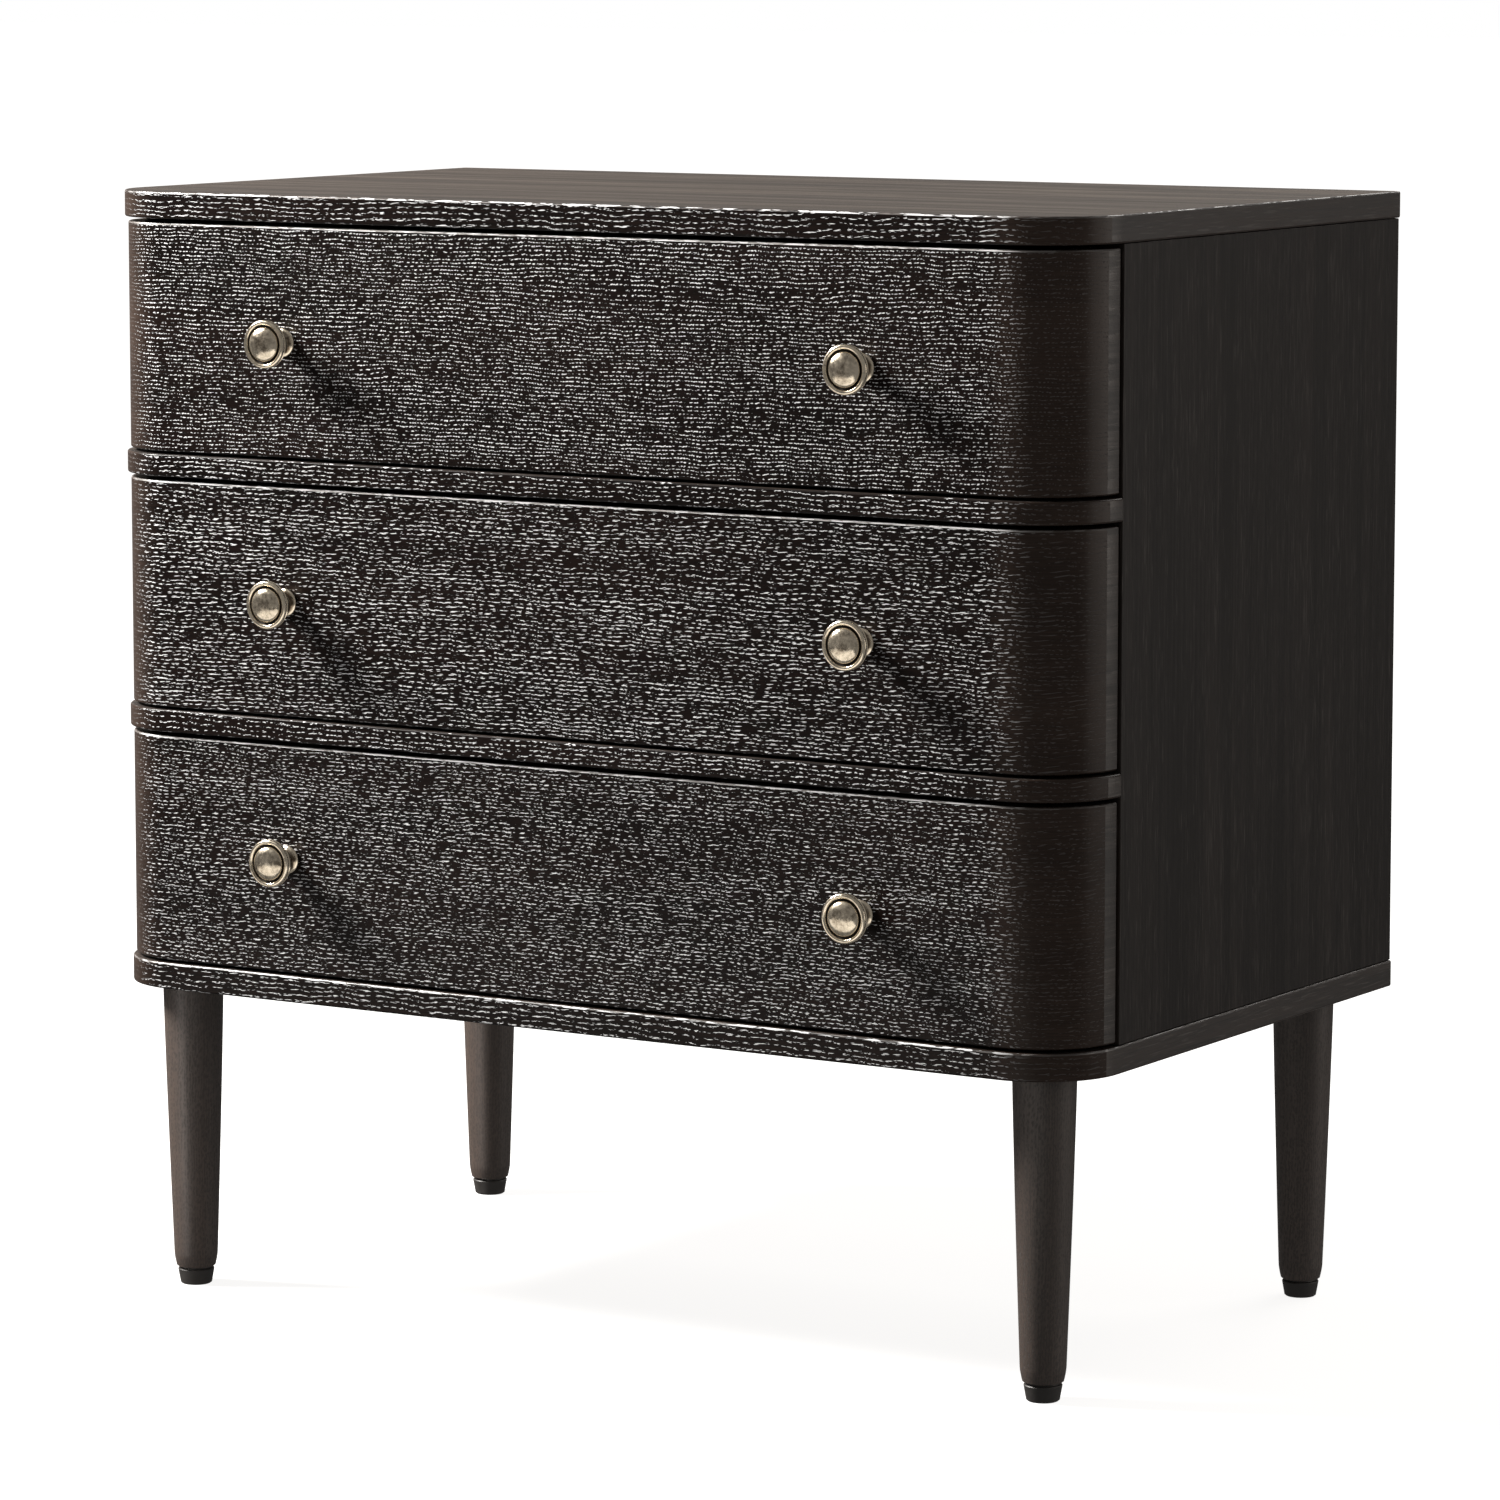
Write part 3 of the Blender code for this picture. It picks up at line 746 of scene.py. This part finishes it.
def cross_head(radius, height, recess):
    """A low domed screw head with a cross recess, its seat at height 0 and its crown along +Z."""
    crown = [(radius * cos(radians(a)), 0.25 * height + 0.75 * height * sin(radians(a)))
             for a in range(0, 90, 15)]
    bm = turned([(0, 0), (radius - 0.0003, 0), (radius, 0.0003)] + crown + [(0, height)], 32)
    arm = radius * 0.58
    half_slot = 0.00042
    floor = height - recess
    cross = [block((-arm, -half_slot, floor), (arm, half_slot, 2 * height)),
             block((-half_slot, -arm, floor), (half_slot, arm, 2 * height))]
    return cut(bm, cross)


def make_back_screws(finishes):
    """The cross-head screws that hold the back panel, in a row along each edge."""
    low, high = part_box("back_panel")
    inset = 0.014
    sunk = 0.0003
    columns = 5
    rows = 4
    head = cross_head(0.0036, 0.0014, 0.0009)
    turn(head, -pi / 2, "X")
    heads = []
    for column in range(columns):
        for row in range(rows):
            if 0 < column < columns - 1 and 0 < row < rows - 1:
                continue
            x = low.x + inset + (high.x - low.x - 2 * inset) * column / (columns - 1)
            z = low.z + inset + (high.z - low.z - 2 * inset) * row / (rows - 1)
            heads.append(head.copy())
            move(heads[-1], (x, high.y - sunk, z))
    head.free()
    add_piece("back_panel_screws", joined(heads), "root", [],
              [finishes["black_steel"]])


def make_case(finishes):
    """The two slabs, the rails between the drawers, the sides and the back."""
    for name in ("top_panel", "bottom_panel"):
        make_slab(name, finishes)
    for name in ("divider_rail_lower", "divider_rail_upper"):
        make_rail(name, finishes)
    for side in SIDES:
        make_panel(f"side_panel_{side}", finishes["side"], PANEL_EDGE)
    make_panel("back_panel", finishes["back"], PANEL_EDGE)
    make_back_screws(finishes)


def leg_profile(top, foot, top_radius):
    """A leg that tapers to its ankle in a faint curve, and draws in faster below it."""
    ankle, ankle_radius = 0.022, 0.0150
    foot_radius = 0.0134
    edge = 0.0006
    shank_steps, ankle_steps = 18, 5
    points = [(0, top), (top_radius - edge, top), (top_radius, top - edge)]
    for i in range(1, shank_steps + 1):
        down = i / shank_steps
        narrowing = (top_radius - ankle_radius) * down**1.15
        points.append((top_radius - narrowing, top + (ankle - top) * down))
    for i in range(1, ankle_steps + 1):
        down = i / ankle_steps
        radius = ankle_radius + (foot_radius - ankle_radius) * down**1.4
        points.append((radius, ankle + (foot + edge - ankle) * down))
    return points + [(foot_radius - 0.0008, foot), (0, foot)]


def glide_profile(radius, height):
    """A moulded glide: a lip under the leg, then a wall that narrows to the floor."""
    floor_radius = 0.0102
    return [
        (0, height), (radius - 0.0016, height), (radius - 0.0015, height - 0.0008),
        (radius - 0.0004, height - 0.0012), (radius, height - 0.0018),
        (radius - 0.0002, height - 0.0030), (floor_radius + 0.0006, 0.0008),
        (floor_radius - 0.0004, 0), (0, 0),
    ]


def make_legs(finishes):
    """The four turned legs and the glides under them."""
    for place in ("front_left", "front_right", "rear_left", "rear_right"):
        name = f"leg_{place}"
        low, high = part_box(name)
        x, y, _ = centre_of(low, high)
        leg = turned(leg_profile(high.z, low.z, (high.x - low.x) / 2))
        move(leg, (x, y, 0))
        add_piece(name + "_turned", leg, "root", [name], [finishes["leg"]])

        name = f"glide_{place}"
        low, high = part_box(name)
        glide = turned(glide_profile((high.x - low.x) / 2, high.z))
        move(glide, (x, y, 0))
        add_piece(name + "_moulded", glide, "root", [name],
                  [finishes["plastic"]])


# ---------------------------------------------------------------- drawers


def make_drawer_front(drawer, finishes):
    """A front that wraps round both corners, with a pocket behind it for the drawer box."""
    node = f"{drawer}_drawer_front"
    low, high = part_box(node)
    side_low, side_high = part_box(f"{drawer}_drawer_side_right")
    pocket = side_high.x + SEAM_GAP
    back = side_low.y - SEAM_GAP
    inset = low.x - CAD_BOX[0][0]
    outline = [(low.x, high.y)] + front_curve(low, high, CORNER_RADIUS - inset)
    outline += [(high.x, high.y), (pocket, high.y), (pocket, back)]
    outline += [(-pocket, back), (-pocket, high.y)]
    bm = prism(outline, low.z, high.z)
    round_edges(bm, FRONT_EDGE)
    # its upper rounded edge takes the near-white painted highlight
    coats = dress_board(bm, finishes, f"{drawer}_front", upper_edge="painted_edge_highlight")
    add_piece(node + "_veneered", bm, f"{drawer}_drawer", [node], coats)


# The knob's dome and the outside of the groove round it
DOME_RADIUS = 0.0116
DOME_START = 0.0216
GROOVE_RADIUS = 0.0133
GROOVE_FLOOR = 0.0202


def knob_profile(height, rim):
    """(radius, height) from the bore's end down to the base, then up over the rim to the dome."""
    bore = [(0, 0.0100), (0.0023, 0.0100), (0.0023, 0.0)]
    base = [(0.0091, 0.0), (0.0095, 0.0004), (0.0095, 0.0011), (0.0092, 0.0016)]
    stem = [(0.0080, 0.0021), (0.0070, 0.0028), (0.0063, 0.0040), (0.0059, 0.0060),
            (0.0058, 0.0080), (0.0060, 0.0100), (0.0066, 0.0122), (0.0078, 0.0142)]
    cup = [(0.0096, 0.0160), (0.0118, 0.0172), (0.0136, 0.0179), (0.0149, 0.0183)]
    # the rim: a thin lower bead, a fine step, then the rolled upper bead
    lower_bead = [(rim - 0.0006, 0.0186), (rim - 0.0002, 0.0190), (rim - 0.0006, 0.0195)]
    bead = 0.0017
    upper_bead = arc((rim - bead, 0.0211), bead, -60, 150, steps=14)
    lip = GROOVE_FLOOR + 0.0004
    groove = [(GROOVE_RADIUS, lip), (GROOVE_RADIUS - 0.0004, GROOVE_FLOOR),
              (DOME_RADIUS + 0.0003, GROOVE_FLOOR), (DOME_RADIUS, lip)]
    quarter = arc((0, 0), 1, 0, 90, steps=14)[:-1]
    dome = [(DOME_RADIUS * out, DOME_START + (height - DOME_START) * up) for out, up in quarter]
    return bore + base + stem + cup + lower_bead + upper_bead + groove + dome + [(0, height)]


def in_groove(face):
    """Whether a face of the knob, still upright at the origin, is in the groove."""
    middle = face.calc_center_median()
    across = DOME_RADIUS - 0.0001 < middle.xy.length < GROOVE_RADIUS + 0.0002
    return across and GROOVE_FLOOR - 0.0007 < middle.z < DOME_START + 0.0001


def make_knobs(drawer, finishes):
    """A drawer's two mushroom knobs, turned, with a groove blackened partly by patina and partly
    by painted shade.
    """
    for side in SIDES:
        node = f"{drawer}_drawer_knob_{side}"
        low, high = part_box(node)
        bm = turned(knob_profile(high.y - low.y, (high.x - low.x) / 2))
        paint_faces(bm, 1, in_groove)
        turn(bm, pi / 2, "X")
        x, _, z = centre_of(low, high)
        move(bm, (x, high.y, z))
        add_piece(node + "_cast", bm, f"{drawer}_drawer", [node],
                  [finishes["brass"], finishes["groove"]], smooth=50)


def make_drawer_box(drawer, finishes):
    """Two grooved sides, a back between them and a bottom board in the grooves."""
    body = f"{drawer}_drawer"
    board_low, board_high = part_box(f"{body}_bottom")
    groove_low = board_low.z - SEAM_GAP
    groove_high = board_high.z + SEAM_GAP
    for side in SIDES:
        node = f"{body}_side_{side}"
        low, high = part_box(node)
        if side == "right":
            inner, outer, groove = low.x, high.x, board_high.x + SEAM_GAP
        else:
            inner, outer, groove = high.x, low.x, board_low.x - SEAM_GAP
        outline = [
            (inner, low.z), (outer, low.z), (outer, high.z), (inner, high.z),
            (inner, groove_high), (groove, groove_high), (groove, groove_low), (inner, groove_low),
        ]
        bm = prism(outline, low.y, high.y, axis="Y")
        round_edges(bm, BOARD_EDGE)
        add_piece(node + "_board", bm, body, [node], [finishes["box_side"]])
    for board in ("back", "bottom"):
        make_panel(f"{body}_{board}", finishes["box_cross"], BOARD_EDGE, body)


# ---------------------------------------------------------------- slides and screws


def rolled_channel(web, lip, half_height):
    """A slide member in section on the right: web at x = web, flanges bent round to x = lip."""
    facing = 1 if lip > web else -1
    end = SLIDE_STEEL / 2

    def bend(radius, start, stop):
        points = arc((0, 0), radius, start, stop, steps=5)
        return [(web + facing * (SLIDE_FOLD - x), z + half_height - SLIDE_FOLD) for x, z in points]

    outer = bend(SLIDE_FOLD, 0, 90)
    inner = bend(SLIDE_FOLD - SLIDE_STEEL, 90, 0)
    tip = [(lip - facing * (end - z), half_height - end + x)
           for x, z in arc((0, 0), end, 0, 180, steps=4)]
    upper = outer + tip + inner
    return upper + [(x, -z) for x, z in reversed(upper)]


def web_cutters(x, start, length):
    """Round holes and slots along a slide member's web, to cut out of it."""
    holes, slots = (0.05, 0.30, 0.52, 0.74, 0.94), (0.15, 0.41, 0.63, 0.85)
    reach, half_slot, slot_radius = 0.006, 0.006, 0.0024
    cutters = [rod((x, start + share * length, 0), 0.0022, reach) for share in holes]
    for share in slots:
        y = start + share * length
        cutters.append(rod((x, y - half_slot, 0), slot_radius, reach))
        cutters.append(rod((x, y + half_slot, 0), slot_radius, reach))
        cutters.append(block((x - reach / 2, y - half_slot, -slot_radius),
                             (x + reach / 2, y + half_slot, slot_radius)))
    return cutters


def web_screws(x, start, length, facing):
    """Screw heads seated in the channel of a slide member."""
    head = cross_head(0.0037, 0.0016, 0.0010)
    turn(head, facing * pi / 2, "Y")
    heads = []
    for share in (0.05, 0.52, 0.94):
        heads.append(head.copy())
        move(heads[-1], (x, start + share * length, 0))
    head.free()
    return heads


def make_slides(finishes):
    """Each drawer's slides: three nested channels a side, with slots, holes and screw heads.

    One set is made for the top drawer's right side, and copied to the others.
    """
    # member: its node, the body it rides on, whether its web faces the drawer, and its screws
    members = (
        ("{}_drawer_slide_inner_{}", "{}_drawer", True, True),
        ("{}_slide_middle_{}", "{}_slides", False, False),
        ("{}_slide_outer_{}", "root", False, True),
    )
    for node, body, web_inside, has_screws in members:
        low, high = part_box(node.format("top", "right"))
        length = high.y - low.y
        web, lip, facing = (low.x, high.x, 1) if web_inside else (high.x, low.x, -1)
        bm = prism(rolled_channel(web, lip, (high.z - low.z) / 2), low.y, high.y, axis="Y")
        bm = cut(bm, web_cutters(web + facing * SLIDE_STEEL / 2, low.y, length))
        if has_screws:
            seat = web + facing * (SLIDE_STEEL - 0.0001)
            bm = joined([bm, *web_screws(seat, low.y, length, facing)])
        for drawer in DRAWERS:
            for side in SIDES:
                name = node.format(drawer, side)
                copy = bm.copy() if side == "right" else mirrored(bm)
                move(copy, (0, 0, centre_of(*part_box(name)).z))
                add_piece(name + "_rolled", copy, body.format(drawer), [name],
                          [finishes["steel"]])
        bm.free()


def knob_screw(head_radius, head_height, length):
    """A machine screw along Y: its head seats at y = 0, and its threaded shank runs to -Y."""
    shank = 0.0020
    pitch = 0.0007
    plain_end = 0.0006
    thread = []
    for crest in range(int((length - 2 * plain_end) / pitch)):
        y = plain_end - length + crest * pitch
        thread += [(shank - 0.0003, y), (shank, y + pitch / 2)]
    profile = [(0, -length), (shank - 0.0006, -length)] + thread
    profile += [(shank, 0.0002), (0, 0.0002)]
    screw = joined([turned(profile, 24), cross_head(head_radius, head_height, 0.0014)])
    turn(screw, -pi / 2, "X")
    return screw


def make_knob_screws(finishes):
    """The machine screws that reach through the drawer fronts into the knobs."""
    low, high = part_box("top_drawer_knob_screw_left")
    head_height = 0.0022
    screw = knob_screw((high.x - low.x) / 2, head_height, high.y - low.y - head_height)
    for drawer in DRAWERS:
        for side in SIDES:
            node = f"{drawer}_drawer_knob_screw_{side}"
            low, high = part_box(node)
            x, _, z = centre_of(low, high)
            copy = screw.copy()
            move(copy, (x, high.y - head_height, z))
            add_piece(node + "_machined", copy, f"{drawer}_drawer", [node],
                      [finishes["steel"]])
    screw.free()


bpy.context.scene.view_settings.view_transform = "Standard"
add_camera()
add_light()
add_floor()
FINISHES = make_materials()
make_case(FINISHES)
make_legs(FINISHES)
for drawer_name in DRAWERS:
    make_drawer_front(drawer_name, FINISHES)
    make_knobs(drawer_name, FINISHES)
    make_drawer_box(drawer_name, FINISHES)
make_slides(FINISHES)
make_knob_screws(FINISHES)
